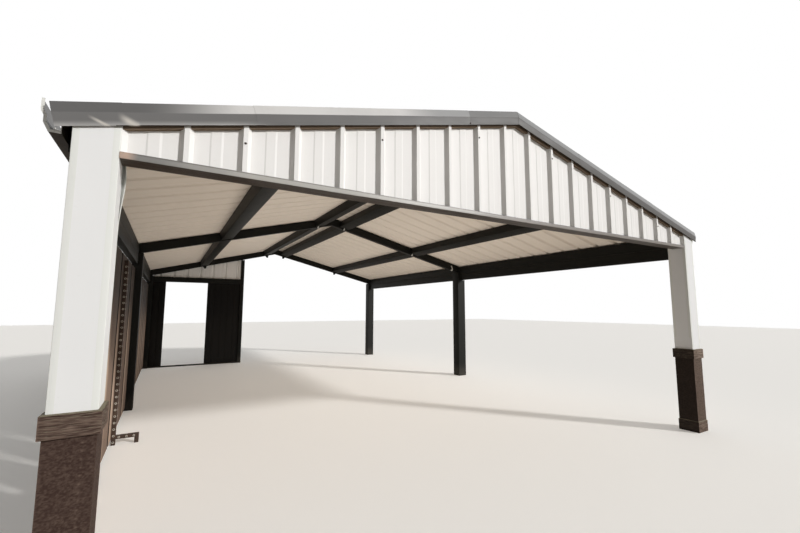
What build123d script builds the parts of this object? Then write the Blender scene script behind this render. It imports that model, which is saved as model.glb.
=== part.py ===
"""Gable-ended double carport: steel tube frame, ribbed sheet roof and front gable, columns with base wraps.

Frame: X across the front (right positive), Y from the front gable backwards, Z up from the floor.
The origin is the middle of the bounding box at floor level. All lengths are in millimetres.
"""
import math
import os

from build123d import *

# Overall plan
column_outer = 3080.0
column_width = 195.0
column_front = -36.0
mid_post_front = 4570.0
rear_overhang = 123.8
post_width = 195.0

# Roof
roof_slope = 0.25
ridge_underside = 3195.0
roof_front = -20.0
roof_overhang = 82.0
rib_pitch = 304.8
roof_rib_count = 32
roof_rib_margin = 45.0
sheet_thickness = 3.0
rib_height = 32.0
rib_top = 26.0
rib_foot = 74.0
minor_rib_height = 2.5
minor_rib_foot = 26.0
minor_rib_top = 16.0
minor_rib_offset = 102.0

# Steel frame
rafter_depth = 140.0
rafter_width = 100.0
purlin_depth = 125.0
purlin_width = 190.0
mid_purlin_at = 1870.0
ridge_purlin_at = 270.0
beam_set = 30.0
beam_width = 75.0
beam_depth = 150.0
header_drop = 254.0
header_height = 100.0

# Front gable wall
wall_thickness = 3.0
first_rib_at = -2590.0
lip_height = 30.0
lip_out = 40.0

# Rake trims, ridge cap, gutters
trim_thickness = 3.0
rake_leg = 70.0
rake_turn = -35.0
rake_out = 52.0
rake_fold = -17.0
rake_low = -100.0
rake_return = -80.0
rake_past = 4.0
cap_half = 190.0
gutter_width = 84.0
gutter_thickness = 3.0
gutter_drop = 113.0
gutter_back_drop = 5.0
gutter_lip_rise = 50.0
gutter_lip_width = 12.0

# Column base wraps
base_top = 974.0
base_cap_height = 110.0
base_cap_out = 20.0
base_body_out = 5.0
base_skirt_height = 130.0
base_skirt_out = 12.0

# Rear wall with its doorway
left_panel_width = 288.0
door_width = 964.0
right_panel_width = 813.0
inner_post_width = 90.0
door_rise = 30.0
rear_header_height = 129.0
panel_thickness = 20.0
sill_height = 30.0
board_pitch = 150.0
infill_rib_margin = 150.0

# Left side screen
screen_front = 660.0
screen_board = 600.0
screen_joint = 70.0
screen_thickness = 20.0
screen_set = 25.0
screen_low = 60.0
screen_gap = 63.0
rail_width = 38.0
rail_height = 89.0
rail_low = 200.0
rail_drop = 200.0
upright_size = 40.0
upright_at = 2900.0
upright_drop = 60.0
foot_reach = 250.0
foot_level = 60.0

# Clearance left between seated faces
seat = 0.3

angle = math.degrees(math.atan(roof_slope))
cosine = math.cos(math.radians(angle))
sine = math.sin(math.radians(angle))
roof_length = (roof_rib_count - 1) * rib_pitch + 2 * roof_rib_margin
shift = -(roof_front + roof_front + roof_length) / 2


def roof_under(x):
    """Height of the roof underside over the plan position x."""
    return ridge_underside - roof_slope * abs(x)


def block(x0, x1, y0, y1, z0, z1):
    """Plain block between two corners, y measured from the gable wall plane."""
    solid = Box(x1 - x0, y1 - y0, z1 - z0, align=(Align.MIN, Align.MIN, Align.MIN))
    return Pos(x0, y0 + shift, z0) * solid


def bent_sheet(points, thickness):
    """Closed outline of a sheet folded along the points, its thickness laid to the right of travel."""
    inner = []
    for i, (x, y) in enumerate(points):
        before = points[i - 1] if i else None
        after = points[i + 1] if i + 1 < len(points) else None
        normals = []
        for a, b in ((before, (x, y)), ((x, y), after)):
            if a is None or b is None:
                continue
            dx, dy = b[0] - a[0], b[1] - a[1]
            size = math.hypot(dx, dy)
            normals.append((dy / size, -dx / size))
        nx = sum(n[0] for n in normals) / len(normals)
        ny = sum(n[1] for n in normals) / len(normals)
        scale = thickness / (nx * nx + ny * ny)
        inner.append((x + nx * scale, y + ny * scale))
    return points + inner[::-1]


def across(points, x0, x1):
    """Extrude an outline given in (y, z) from x0 to x1."""
    face = make_face(Polyline(*[(x0, y, z) for y, z in points], close=True))
    return extrude(face, amount=x1 - x0, dir=(1, 0, 0))


def along(points, y0, y1):
    """Extrude an outline given in (x, z) from y0 to y1."""
    face = make_face(Polyline(*[(x, y0 + shift, z) for x, z in points], close=True))
    return extrude(face, amount=y1 - y0, dir=(0, 1, 0))


def upright_profile(points, z0, z1):
    """Extrude an outline given in (x, y) from z0 to z1."""
    face = make_face(Polyline(*[(x, y + shift, z0) for x, y in points], close=True))
    return extrude(face, amount=z1 - z0, dir=(0, 0, 1))


def on_slope(solid, x0, x1):
    """Lay a solid drawn in slope coordinates on the right slope and trim it plumb at x0 and x1."""
    laid = Pos(0, 0, ridge_underside) * (Rot(0, angle, 0) * solid)
    window = Pos((x0 + x1) / 2, 0, ridge_underside) * Box(x1 - x0, 3 * roof_length, 2 * ridge_underside)
    return laid & window


def left_of(solid):
    """The same piece on the other side of the middle plane."""
    return mirror(solid, about=Plane.YZ)


def rib_outline(start, end, centres, thickness, turned):
    """Outline of a sheet folded into trapezoid ribs at the centres and two shallow ones between."""
    edge = [(start, thickness)]
    for centre in centres:
        for offset in (-minor_rib_offset, 0.0, minor_rib_offset):
            low = offset != 0.0
            foot = minor_rib_foot if low else rib_foot
            top = minor_rib_top if low else rib_top
            rise = minor_rib_height if low else rib_height
            at = centre + offset
            if at - foot / 2 <= start + 1 or at + foot / 2 >= end - 1:
                continue
            edge.append((at - foot / 2, thickness))
            edge.append((at - top / 2, rise + thickness))
            edge.append((at + top / 2, rise + thickness))
            edge.append((at + foot / 2, thickness))
    edge.append((end, thickness))
    return [(a, turned * h) for a, h in bent_sheet(edge, thickness)]


def rib_centres(first, start, end):
    """Rib centres on the pitch through first that lie between start and end."""
    low = math.ceil((start - first) / rib_pitch)
    high = math.floor((end - first) / rib_pitch)
    return [first + rib_pitch * k for k in range(low, high + 1)]


def rafter(y0):
    """Right-hand rafter whose front face stands at y0, from the ridge to the eave beam."""
    place = Pos(0, y0 + shift + rafter_width / 2, -seat - rafter_depth / 2)
    return place * Box(2 * roof_edge / cosine, rafter_width, rafter_depth)


def purlin(x, y0, y1):
    """Right-hand purlin centred over the plan position x, between two rafter faces."""
    place = Pos(x / cosine, (y0 + y1) / 2 + shift, -seat - purlin_depth / 2)
    return place * Box(purlin_width, y1 - y0, purlin_depth)


column_inner = column_outer - column_width
roof_edge = column_outer + roof_overhang
rake_end = roof_edge + rake_past
beam_inner = column_outer - beam_set
beam_outer = beam_inner + beam_width
beam_top = roof_under(beam_outer) - seat
beam_split = beam_top - beam_depth
beam_bottom = beam_split - beam_depth
column_back = column_front + column_width
post_outer = beam_inner + beam_width / 2 + post_width / 2
post_inner = post_outer - post_width
header_bottom = roof_under(column_inner) - header_drop
front_rafter = wall_thickness
mid_rafter = mid_post_front + (post_width - rafter_width) / 2
roof_rear = roof_front + roof_length
rear_post_front = roof_rear - rear_overhang - post_width
rear_rafter = rear_post_front + (post_width - rafter_width) / 2
rafter_drop = (rafter_depth + seat) / cosine

parts = {}

# Length drawn past the ridge before the plumb cut
ridge_spare = roof_slope * (rake_leg + rake_out + rib_height)

# Roof sheets: ribs run from ridge to eave, plumb cut at the ridge and square at the eave
roof_ribs = [roof_front + roof_rib_margin + rib_pitch * k for k in range(roof_rib_count)]
roof_outline = rib_outline(roof_front, roof_rear, roof_ribs, sheet_thickness, 1)
roof_sheet = across([(y + shift, z) for y, z in roof_outline], -ridge_spare, roof_edge / cosine)
parts["roof_right"] = on_slope(roof_sheet, 0.0, 2 * roof_edge)
parts["roof_left"] = left_of(parts["roof_right"])

# Ridge cap folded over both slopes between the two rake trims
cap_low = sheet_thickness + rib_height + seat
cap_points = [
    (-cap_half, ridge_underside - roof_slope * cap_half + (cap_low + trim_thickness) / cosine),
    (0.0, ridge_underside + (cap_low + trim_thickness) / cosine),
    (cap_half, ridge_underside - roof_slope * cap_half + (cap_low + trim_thickness) / cosine),
]
cap_front = rake_leg + 1.0
cap_rear = roof_front + roof_rear - cap_front
parts["ridge_cap"] = along(bent_sheet(cap_points, trim_thickness), cap_front, cap_rear)

# Rake trims: leg on the ribs, bevelled shoulder, upright face, return below
rake_top = sheet_thickness + rib_height + seat + trim_thickness
rake_points = [
    (rake_return / 2 + 3.0, rake_return),
    (-rake_out, rake_low),
    (-rake_out, rake_fold),
    (rake_turn, rake_top),
    (rake_leg, rake_top),
]
rake_outline = bent_sheet(rake_points, trim_thickness)
front_rake = across([(y + shift, z) for y, z in rake_outline], -ridge_spare, rake_end / cosine)
parts["rake_front_right"] = on_slope(front_rake, 0.0, 2 * rake_end)
parts["rake_front_left"] = left_of(parts["rake_front_right"])
rear_rake = across([(-(y + shift), z) for y, z in rake_outline], -ridge_spare, rake_end / cosine)
parts["rake_rear_right"] = on_slope(rear_rake, 0.0, 2 * rake_end)
parts["rake_rear_left"] = left_of(parts["rake_rear_right"])

# Eave gutters, open at the top, hung on the outer face of the eave beams
gutter_back = beam_outer + seat
gutter_front = gutter_back + gutter_width
gutter_bottom = beam_top - gutter_drop
gutter_points = [
    (gutter_back, beam_top - gutter_back_drop),
    (gutter_back, gutter_bottom),
    (gutter_back + 0.6 * gutter_width, gutter_bottom),
    (gutter_front - gutter_lip_width, gutter_bottom + 0.4 * gutter_drop),
    (gutter_front - gutter_lip_width, gutter_bottom + 0.7 * gutter_drop),
    (gutter_front, gutter_bottom + 0.9 * gutter_drop),
    (gutter_front, beam_top + gutter_lip_rise),
]
gutter_outline = bent_sheet(gutter_points[::-1], gutter_thickness)
parts["gutter_right"] = along(gutter_outline, 0.0, roof_rear)
parts["gutter_left"] = left_of(parts["gutter_right"])

# Front gable wall: ribbed sheet between the columns, up to the roof underside
wall_reach = column_inner + rib_pitch
wall_ribs = rib_centres(first_rib_at, -wall_reach, wall_reach)
wall_outline = rib_outline(-wall_reach, wall_reach, wall_ribs, wall_thickness, -1)
wall_outline = [(x, y + wall_thickness) for x, y in wall_outline]
wall_low = header_bottom + lip_height
wall_sheet = upright_profile(wall_outline, wall_low, ridge_underside)
gable_shape = along(
    [
        (-column_inner, wall_low),
        (column_inner, wall_low),
        (column_inner, roof_under(column_inner) - seat),
        (0.0, ridge_underside - seat),
        (-column_inner, roof_under(column_inner) - seat),
    ],
    -rib_height - 50.0,
    wall_thickness,
)
parts["gable_front"] = wall_sheet & gable_shape

# Bottom trim of the gable wall and the header tube behind it
trim_points = [
    (-lip_out, header_bottom),
    (rafter_width + wall_thickness, header_bottom),
    (rafter_width + wall_thickness, header_bottom - 3.0),
    (-lip_out + 12.0, header_bottom - 3.0),
    (-lip_out, header_bottom - 8.0),
]
lip = block(-column_inner, column_inner, -lip_out, wall_thickness, header_bottom, wall_low)
soffit = across([(y + shift, z) for y, z in trim_points], -column_inner, column_inner)
parts["header_trim"] = lip + soffit
parts["header_beam"] = block(
    -column_inner,
    column_inner,
    wall_thickness,
    wall_thickness + rafter_width,
    header_bottom,
    header_bottom + header_height,
)

# Front columns with sloping heads, standing on wood-grained base wraps
column_head = [
    (column_inner, base_top),
    (column_outer, base_top),
    (column_outer, roof_under(column_outer) - seat),
    (column_inner, roof_under(column_inner) - seat),
]
shaft = along(column_head, column_front, column_back)
shaft_edges = shaft.edges().filter_by(Axis.Z)
parts["column_front_right"] = fillet(shaft_edges, 6.0)
parts["column_front_left"] = left_of(parts["column_front_right"])


def wrapped(out, z0, z1):
    """Square ring level of the base wrap standing out from the column faces."""
    return block(column_inner - out, column_outer + out, column_front - out, column_back + out, z0, z1)


cap_bottom = base_top - base_cap_height
base_cap = chamfer(wrapped(base_cap_out, cap_bottom, base_top).edges().group_by(Axis.Z)[-1], 8.0)
base_skirt = chamfer(wrapped(base_skirt_out, 0.0, base_skirt_height).edges().group_by(Axis.Z)[-1], 5.0)
base = base_cap + base_skirt + wrapped(base_body_out, 0.0, cap_bottom)
parts["base_front_right"] = base
parts["base_front_left"] = left_of(base)


def post(y0):
    """Right-hand post notched at the head: the beams sit in the notch, the tongue meets the rafter."""
    leg = block(post_inner, post_outer, y0, y0 + post_width, 0.0, beam_bottom)
    head = roof_under(beam_inner) - rafter_drop - seat
    tongue = block(post_inner, beam_inner, y0, y0 + post_width, beam_bottom, head)
    return leg + tongue


parts["post_mid_right"] = post(mid_post_front)
parts["post_mid_left"] = left_of(parts["post_mid_right"])
parts["post_rear_right"] = post(rear_post_front)
parts["post_rear_left"] = left_of(parts["post_rear_right"])

# Eave beams: two tubes stacked, the lower left one begins at the side screen
beam_end = rear_post_front + post_width
parts["beam_upper_right"] = block(beam_inner, beam_outer, column_back, beam_end, beam_split, beam_top)
parts["beam_upper_left"] = left_of(parts["beam_upper_right"])
parts["beam_lower_right"] = block(beam_inner, beam_outer, column_back, beam_end, beam_bottom, beam_split)
parts["beam_lower_left"] = block(-beam_outer, -beam_inner, screen_front, beam_end, beam_bottom, beam_split)

# Rafters in three frames; the front pair stops at the columns
parts["rafter_front_right"] = on_slope(rafter(front_rafter), 0.0, column_inner)
parts["rafter_mid_right"] = on_slope(rafter(mid_rafter), 0.0, beam_inner)
parts["rafter_rear_right"] = on_slope(rafter(rear_rafter), 0.0, beam_inner)
for level in ("front", "mid", "rear"):
    parts["rafter_" + level + "_left"] = left_of(parts["rafter_" + level + "_right"])

# Purlins framed between the rafters under the roof sheets
bays = {
    "front": (front_rafter + rafter_width, mid_rafter),
    "rear": (mid_rafter + rafter_width, rear_rafter),
}
for bay, (y0, y1) in bays.items():
    for line, at in (("ridge", ridge_purlin_at), ("mid", mid_purlin_at)):
        piece = on_slope(purlin(at, y0, y1), 0.0, beam_inner)
        parts["purlin_" + line + "_" + bay + "_right"] = piece
        parts["purlin_" + line + "_" + bay + "_left"] = left_of(piece)

# Rear wall: header and sill between the left post and an inner post, boarded panels beside the doorway
door_left = -post_inner + left_panel_width
door_right = door_left + door_width
door_head = beam_bottom + door_rise
inner_post_left = door_right + right_panel_width
inner_post_right = inner_post_left + inner_post_width
inner_head = roof_under(inner_post_left) - rafter_drop - seat
rear_y0 = rear_rafter
rear_y1 = rear_rafter + rafter_width
parts["post_inner"] = block(inner_post_left, inner_post_right, rear_y0, rear_y1, 0.0, inner_head)
rear_header_top = door_head + rear_header_height
parts["rear_header"] = block(-post_inner, inner_post_left, rear_y0, rear_y1, door_head, rear_header_top)
parts["rear_sill"] = block(-post_inner, inner_post_left, rear_y0, rear_y1, 0.0, sill_height)


def boarded(x0, x1, y0, z0, z1):
    """Panel of equal boards with a shallow groove between each two."""
    count = max(1, round((x1 - x0) / board_pitch))
    step = (x1 - x0) / count
    outline = [(x0, y0)]
    for k in range(1, count):
        at = x0 + k * step
        outline += [(at - 6.0, y0), (at - 3.0, y0 + 6.0), (at + 3.0, y0 + 6.0), (at + 6.0, y0)]
    outline += [(x1, y0), (x1, y0 + panel_thickness), (x0, y0 + panel_thickness)]
    return upright_profile(outline, z0, z1)


panel_y = (rear_y0 + rear_y1 - panel_thickness) / 2
parts["panel_rear_left"] = boarded(-post_inner, door_left, panel_y, sill_height, door_head)
parts["panel_rear_right"] = boarded(door_right, inner_post_left, panel_y, sill_height, door_head)

# Rear gable infill over the header, its ribs outside
infill_ribs = rib_centres(-post_inner + infill_rib_margin, -post_inner, inner_post_left)
infill_outline = rib_outline(-post_inner, inner_post_left, infill_ribs, wall_thickness, 1)
infill_outline = [(x, y + panel_y) for x, y in infill_outline]
infill_sheet = upright_profile(infill_outline, rear_header_top, ridge_underside)
infill_shape = along(
    [
        (-post_inner, rear_header_top),
        (inner_post_left, rear_header_top),
        (inner_post_left, roof_under(inner_post_left) - rafter_drop - seat),
        (-post_inner, roof_under(post_inner) - rafter_drop - seat),
    ],
    panel_y - 80.0,
    panel_y + 80.0,
)
parts["infill_rear"] = infill_sheet & infill_shape


screen_inner = beam_inner + screen_set
screen_high = beam_bottom - screen_gap


def screen(y0, y1):
    """Left side screen: wide boards with open joints on two rails set outside them."""
    count = max(1, round((y1 - y0) / (screen_board + screen_joint)))
    step = (y1 - y0) / count
    solid = None
    for level in (rail_low, screen_high - rail_drop):
        rail_x = -screen_inner - screen_thickness
        rail = block(rail_x - rail_width, rail_x, y0, y1, level, level + rail_height)
        solid = rail if solid is None else solid + rail
    for k in range(count):
        lo = y0 + k * step + screen_joint / 2
        hi = y0 + (k + 1) * step - screen_joint / 2
        solid += block(-screen_inner - screen_thickness, -screen_inner, lo, hi, screen_low, screen_high)
    return solid


end_x = -screen_inner - screen_thickness - rail_width
end_upright = block(end_x, -screen_inner, screen_front, screen_front + upright_size, 0.0, beam_bottom)
parts["screen_front"] = screen(screen_front + upright_size, mid_post_front) + end_upright
parts["screen_rear"] = screen(mid_post_front + post_width, rear_post_front)

# Steel upright with a foot against the inner face of the screen
foot_x = -screen_inner
foot_y = upright_at
foot_end = foot_y + upright_size
foot_tip = foot_x + foot_reach
stem = block(foot_x, foot_x + upright_size, foot_y, foot_end, 0.0, screen_high - upright_drop)
foot = block(foot_x + upright_size, foot_tip, foot_y, foot_end, foot_level, foot_level + upright_size)
toe = block(foot_tip - upright_size, foot_tip, foot_y, foot_end, 0.0, foot_level)
parts["upright_foot"] = stem + foot + toe

os.makedirs("parts", exist_ok=True)
for name, solid in parts.items():
    solid.label = name
    export_step(solid, "parts/" + name + ".step")
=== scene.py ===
"""Dressed carport: ribbed white sheet on a black tube frame, bronze trims, clad columns, stained boards."""

import math

import bmesh
import bpy
import numpy as np
from mathutils import Matrix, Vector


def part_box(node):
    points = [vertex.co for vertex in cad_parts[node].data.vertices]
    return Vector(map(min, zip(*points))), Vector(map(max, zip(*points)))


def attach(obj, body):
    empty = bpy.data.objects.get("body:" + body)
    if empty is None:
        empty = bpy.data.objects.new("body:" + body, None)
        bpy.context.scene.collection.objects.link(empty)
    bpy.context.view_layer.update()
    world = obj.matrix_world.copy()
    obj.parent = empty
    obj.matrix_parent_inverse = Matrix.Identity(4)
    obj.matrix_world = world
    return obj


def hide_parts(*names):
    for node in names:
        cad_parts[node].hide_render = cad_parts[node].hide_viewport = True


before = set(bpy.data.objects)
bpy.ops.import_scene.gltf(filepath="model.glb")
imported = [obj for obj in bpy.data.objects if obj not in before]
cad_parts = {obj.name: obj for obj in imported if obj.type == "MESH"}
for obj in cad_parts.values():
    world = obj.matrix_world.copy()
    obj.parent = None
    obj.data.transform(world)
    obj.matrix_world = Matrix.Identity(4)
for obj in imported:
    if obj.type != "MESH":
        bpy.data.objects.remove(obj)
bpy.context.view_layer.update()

# Camera: a wide view from in front of the left column at chest height, turned towards the far
# right column and tipped up a little
eye = (-2.628, -7.178, 1.449)
turned_right, tipped_up, rolled = 0.530, 0.1087, 0.0018
focal_pixels, photo_width, film_width = 393.8, 800, 36.0


def added(name, data):
    """New object for a mesh, a lamp or the camera, put into the scene."""
    made = bpy.data.objects.new(name, data)
    bpy.context.collection.objects.link(made)
    return made


camera = added("camera", bpy.data.cameras.new("camera"))
camera.data.sensor_width = film_width
camera.data.lens = focal_pixels * film_width / photo_width
aim = Matrix.Rotation(-turned_right, 4, "Z") @ Matrix.Rotation(math.pi / 2 + tipped_up, 4, "X")
camera.matrix_world = Matrix.Translation(eye) @ aim @ Matrix.Rotation(rolled, 4, "Z")
bpy.context.scene.camera = camera
bpy.context.scene.view_settings.view_transform = "Standard"

# Light: a pale sky that is weaker from the left, and one broad warm lamp in front on the right,
# low enough to reach in under the gable as far as the side screen
sky_level, sky_low, sky_edge = 0.58, 0.02, 0.5
sky_shade = (0.97, 0.985, 1.0, 1.0)
backdrop = (1.0, 1.0, 1.0, 1.0)
lamp_level, lamp_spread, lamp_gloss = 2.6, 0.09, 0.6
lamp_shade = (1.0, 0.99, 0.98)
lamp_from = (0.80, -1.0, 0.54)


def node(tree, kind, sockets=None, **settings):
    """Adds one node: its settings by name, its sockets by name or number, each a value or an output."""
    made = tree.nodes.new(kind)
    for key, value in settings.items():
        setattr(made, key, value)
    for key, value in (sockets or {}).items():
        if isinstance(value, bpy.types.NodeSocket):
            tree.links.new(value, made.inputs[key])
        else:
            made.inputs[key].default_value = value
    return made


def maths(operation, *values):
    """One sum, difference or other operation on numbers and outputs, in the tree of the outputs."""
    tree = next(value.id_data for value in values if isinstance(value, bpy.types.NodeSocket))
    return node(tree, "ShaderNodeMath", dict(enumerate(values)), operation=operation).outputs[0]


def axes(vector):
    """The three parts of a vector."""
    return node(vector.id_data, "ShaderNodeSeparateXYZ", {0: vector}).outputs


world = bpy.data.worlds.new("sky")
bpy.context.scene.world = world
world.use_nodes = True
sky = world.node_tree
sky.nodes.clear()
rays = node(sky, "ShaderNodeLightPath").outputs
seen = maths("MAXIMUM", rays["Is Camera Ray"], rays["Is Transmission Ray"])
seen = maths("MAXIMUM", seen, rays["Is Glossy Ray"])
from_right = axes(node(sky, "ShaderNodeTexCoord").outputs["Generated"])["X"]
level = node(sky, "ShaderNodeMapRange", {"Value": from_right, "From Min": -sky_edge, "From Max": sky_edge,
                                         "To Min": sky_low, "To Max": sky_level}).outputs["Result"]
lit = node(sky, "ShaderNodeBackground", {"Color": sky_shade, "Strength": level})
plain = node(sky, "ShaderNodeBackground", {"Color": backdrop, "Strength": 1.0})
shown = node(sky, "ShaderNodeMixShader", {0: seen, 1: lit.outputs[0], 2: plain.outputs[0]})
node(sky, "ShaderNodeOutputWorld", {"Surface": shown.outputs[0]})

lamp = added("lamp", bpy.data.lights.new("lamp", "SUN"))
lamp.data.energy, lamp.data.angle, lamp.data.specular_factor = lamp_level, lamp_spread, lamp_gloss
lamp.data.color = lamp_shade
lean = math.atan2(math.hypot(lamp_from[0], lamp_from[1]), lamp_from[2])
lamp.rotation_euler = (lean, 0.0, math.atan2(lamp_from[0], -lamp_from[1]))

# A broad card of light lies on the floor under the roof and lights the ceiling from below,
# as a pale floor in the sun does
card_size = (5.8, 9.4)
card_level = 0.56
card_shade = (1.0, 0.985, 0.96)
card_place = (0.1, -0.1, 0.02)
card = added("card", bpy.data.lights.new("card", "AREA"))
card.data.shape = "RECTANGLE"
card.data.size, card.data.size_y = card_size
card.data.energy = card_level * math.pi * card_size[0] * card_size[1]
card.data.color = card_shade
card.location = card_place
card.rotation_euler = (math.pi, 0.0, 0.0)
card.visible_camera = card.visible_glossy = False


# Ground: a plain pale level floor that only takes the shadow; it throws back less light than it shows
def tint(red, green, blue):
    """Linear colour of a painted shade given in 0 to 255: the curve of the sRGB standard, run backwards."""
    shade = np.array([red, green, blue]) / 255.0
    linear = np.where(shade > 0.04045, ((shade + 0.055) / 1.055) ** 2.4, shade / 12.92)
    return (*linear.tolist(), 1.0)


def times(first, *others):
    """Product of numbers or outputs."""
    for other in others:
        first = maths("MULTIPLY", first, other)
    return first


def over(base, colour, *amounts):
    """Base colour with a second colour laid over it, by the product of the amounts from 0 to 1."""
    sockets = {0: times(*amounts), 6: base, 7: colour}
    return node(amounts[0].id_data, "ShaderNodeMix", sockets, data_type="RGBA").outputs[2]


def fed(sockets, **values):
    """Links outputs to sockets by name, with Base_Color for Base Color."""
    for label, value in values.items():
        value.id_data.links.new(value, sockets[label.replace("_", " ")])


def finish(name, rough, metal=0.0, shine=0.3):
    """New material, the sockets of its Principled shader and the object coordinates its patterns read."""
    material = bpy.data.materials.new(name)
    material.use_nodes = True
    shader = material.node_tree.nodes["Principled BSDF"].inputs
    for label, value in (("Roughness", rough), ("Metallic", metal), ("Specular IOR Level", shine)):
        shader[label].default_value = value
    return material, shader, node(material.node_tree, "ShaderNodeTexCoord").outputs["Object"]


def surface(name, points, faces):
    """Object at the origin from point rows and a list of face arrays, every face wound as given."""
    mesh = bpy.data.meshes.new(name)
    mesh.from_pydata(points.tolist(), [], [face for group in faces for face in group.tolist()])
    mesh.update()
    return added(name, mesh)


floor_half, floor_glow = 40.0, 0.22
floor_colour, floor_return = tint(243, 240, 235), tint(180, 173, 164)
edge_of_floor = floor_half * np.array([[-1, -1, 0], [1, -1, 0], [1, 1, 0], [-1, 1, 0]], float)
floor = surface("floor", edge_of_floor, [np.array([[0, 1, 2, 3]])])
floor_paint, shader, place = finish("floor_paint", 0.9)
by_eye = node(place.id_data, "ShaderNodeLightPath").outputs["Is Camera Ray"]
shader["Emission Color"].default_value = floor_colour
fed(shader, Base_Color=over(floor_return, floor_colour, by_eye),
    Emission_Strength=times(by_eye, floor_glow))
floor.data.materials.append(floor_paint)

# Steel frame: rolled square and rectangular tubes welded together and sprayed satin black,
# with dust on their upper faces and duller, greyer patches where rain has dried
tube_corner = 0.007
frame_black, frame_dust = tint(27, 27, 24), tint(84, 80, 73)
frame_nodes = ("beam_", "rafter_", "purlin_", "post_", "header_beam", "rear_header", "rear_sill")
# Each way of facing: the rise of the normal at which it begins to count, and at which it counts in full
facings = {"Up": (0.25, 0.85), "Slant": (0.12, 0.28), "Down": (-0.25, -0.7)}
cloud_share, speck_share, splash_share, soil_most, soil_dulls = 0.5, 0.22, 0.9, 0.85, 0.35
run_scale, run_cover, speck_scale = 1.6, 0.8, 55.0
inner_face = (0.3, 0.9)
grain_scale, grain_depth, grain_strength = 420.0, 0.0006, 0.25
patch_detail, patch_rough, patch_level, patch_span = 6.0, 0.62, 0.72, 0.5
merge_gap, flat_angle, corner_angle, smooth_angle = 1e-5, 0.01, 0.3, 0.6


def effect(name, inputs, outputs):
    """Empty node group with named sockets, numbers or else vectors, and the sockets at its two ends."""
    group = bpy.data.node_groups.new(name, "ShaderNodeTree")
    for label, value in inputs.items():
        kind = "NodeSocketFloat" if isinstance(value, float) else "NodeSocketVector"
        socket = group.interface.new_socket(name=label, in_out="INPUT", socket_type=kind)
        if value is not None:
            socket.default_value = value
    for label in outputs:
        group.interface.new_socket(name=label, in_out="OUTPUT", socket_type="NodeSocketFloat")
    return group, node(group, "NodeGroupInput").outputs, node(group, "NodeGroupOutput").inputs


def placed(group, place, **values):
    """Puts a node group into the tree of the place that it reads, with its values; gives its outputs."""
    return node(place.id_data, "ShaderNodeGroup", {"Place": place, **values}, node_tree=group).outputs


def scaled(value, by, plus):
    """A value times one number or output, plus another."""
    return maths("MULTIPLY_ADD", value, by, plus)


def ramp(value, low, high, smooth=True):
    """0 below low, 1 above high, and a smooth step between; low may be the higher of the two."""
    kind = "SMOOTHSTEP" if smooth else "LINEAR"
    sockets = {"Value": value, "From Min": low, "From Max": high}
    return node(value.id_data, "ShaderNodeMapRange", sockets, interpolation_type=kind).outputs["Result"]


def noise(place, scale, detail, rough=0.5):
    """Cloudy noise from 0 to 1."""
    sockets = {"Vector": place, "Scale": scale, "Detail": detail, "Roughness": rough}
    return node(place.id_data, "ShaderNodeTexNoise", sockets).outputs["Fac"]


def relief(height, depth, strength=1.0, under=None):
    """Normal tilted by a height, on top of the normal of a broader relief."""
    sockets = {"Height": height, "Distance": depth, "Strength": strength}
    if under is not None:
        sockets["Normal"] = under
    return node(height.id_data, "ShaderNodeBump", sockets).outputs["Normal"]


def own_normal(place):
    """The direction in which a face looks, in the tree of the place."""
    return node(place.id_data, "ShaderNodeNewGeometry").outputs["True Normal"]


# Patches: noise stretched per axis, cut at a level set by how much of the surface it covers
patches, taken, given = effect(
    "patches", {"Place": None, "Stretch": (1.0, 1.0, 1.0), "Scale": 1.0, "Cover": 0.4, "Soft": 0.3},
    ("Mask", "Cloud"))
pulled = node(patches, "ShaderNodeVectorMath", {0: taken["Place"], 1: taken["Stretch"]}, operation="MULTIPLY")
cloud = noise(pulled.outputs[0], taken["Scale"], patch_detail, patch_rough)
low = maths("SUBTRACT", patch_level, times(taken["Cover"], patch_span))
fed(given, Mask=ramp(cloud, low, maths("ADD", low, taken["Soft"])), Cloud=cloud)

# Facing: whether a face looks up, slants up or looks down, and how high the place is
facing, taken, given = effect("facing", {"Place": None}, (*facings, "Height"))
rise = axes(own_normal(taken["Place"]))["Z"]
fed(given, **{label: ramp(rise, *ends) for label, ends in facings.items()})
fed(given, Height=axes(taken["Place"])["Z"])


def painted(name, colour, soil, cover=0.35, size=1.2, runs=0.25, flow=(9.0, 9.0, 0.5), rough=0.4, metal=0.0,
            shine=0.3, dent=0.02, dent_size=1.4, below=None, dusty=0.0, splash=0.0, inward=None):
    """Painted steel: clean colour, soil in clouds and in runs along the flow, duller there, gently uneven."""
    material, shader, place = finish(name, rough, metal, shine)
    clouds = placed(patches, place, Scale=size, Cover=cover, Soft=0.35)
    drops = placed(patches, place, Stretch=flow, Scale=size * run_scale, Cover=cover * run_cover, Soft=0.3)
    specks = placed(patches, place, Scale=speck_scale, Cover=0.2, Soft=0.18)
    turned = placed(facing, place)
    base = colour
    # below and inward colour the faces that look down and those that look towards +X: for the roof the first is
    # the wash coat, partly painted bounce light; for the left gutter both are painted shade
    if below is not None:
        base = over(base, below, turned["Down"])
    if inward is not None:
        base = over(base, inward, ramp(axes(own_normal(place))["X"], *inner_face))
    amount = times(clouds["Mask"], cloud_share)
    amount = scaled(drops["Mask"], runs, amount)
    amount = scaled(specks["Mask"], speck_share, amount)
    if dusty > 0.0:
        amount = scaled(times(turned["Up"], clouds["Cloud"]), dusty, amount)
    if splash > 0.0:
        near_floor = ramp(turned["Height"], splash, 0.0)
        amount = scaled(times(near_floor, clouds["Cloud"]), splash_share, amount)
    held = maths("MINIMUM", amount, soil_most)
    broad = relief(noise(place, dent_size, detail=1.5), dent)
    fine = relief(noise(place, grain_scale, detail=2.0), grain_depth, grain_strength, broad)
    fed(shader, Base_Color=over(base, soil, held), Normal=fine,
        Roughness=scaled(held, soil_dulls, rough))
    return material


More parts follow.
